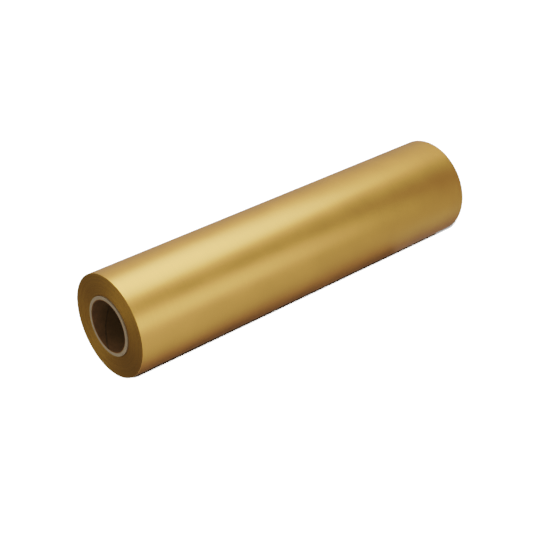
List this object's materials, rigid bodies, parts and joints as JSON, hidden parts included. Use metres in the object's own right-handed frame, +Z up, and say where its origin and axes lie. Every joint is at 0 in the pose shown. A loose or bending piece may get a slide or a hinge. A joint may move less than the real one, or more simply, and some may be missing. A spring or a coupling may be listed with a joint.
{
  "type": "sign vinyl roll",
  "caption": "Roll of satin gold self-adhesive sign vinyl on a spirally wound board core, with a tail that lifts, film that peels off its liner and a paper closing tape.",
  "frame": {"origin": "on the surface that the roll lies on, below the middle of the roll's axis", "axes": "+Y along the roll's axis, +Z up; the tail's free edge is on the -X side"},
  "size_m": [0.153, 0.6334, 0.1519],
  "materials": {
    "core_kraft": "matte",
    "core_board": "matte",
    "core_outer_paper": "matte",
    "start_tape": "gloss",
    "wound_web": "satin",
    "liner": "satin",
    "film": "satin",
    "closing_tape": "matte"
  },
  "bodies": {
    "roll": {"core_inner_ply": "core_kraft", "core_board_ply_1": "core_board", "core_board_ply_2": "core_board", "core_board_ply_3": "core_board", "core_board_ply_4": "core_board", "core_board_ply_5": "core_board", "core_outer_ply": "core_outer_paper", "core_start_tape": "start_tape", "wound_web": "wound_web", "outer_turn_liner": "liner", "outer_turn_film": "film"},
    "tail": {"tail_liner": "liner", "tail_film": "film"},
    "film_end": {"film_end": "film"},
    "closing_tape": {"closing_tape": "closing_tape"}
  },
  "joints": [
    {"name": "tail_lift", "type": "hinge", "parent": "roll", "child": "tail", "pos_m": [-0.05044, 0, 0.13322], "axis": [0, 1, 0], "range_deg": [0, 60]},
    {"name": "film_peel", "type": "hinge", "parent": "tail", "child": "film_end", "pos_m": [-0.06365, 0, 0.11823], "axis": [0, 1, 0], "range_deg": [0, 120]},
    {"name": "tape_peel", "type": "hinge", "parent": "film_end", "child": "closing_tape", "pos_m": [-0.07563, 0, 0.09074], "axis": [0, 1, 0], "range_deg": [0, 120]}
  ]
}
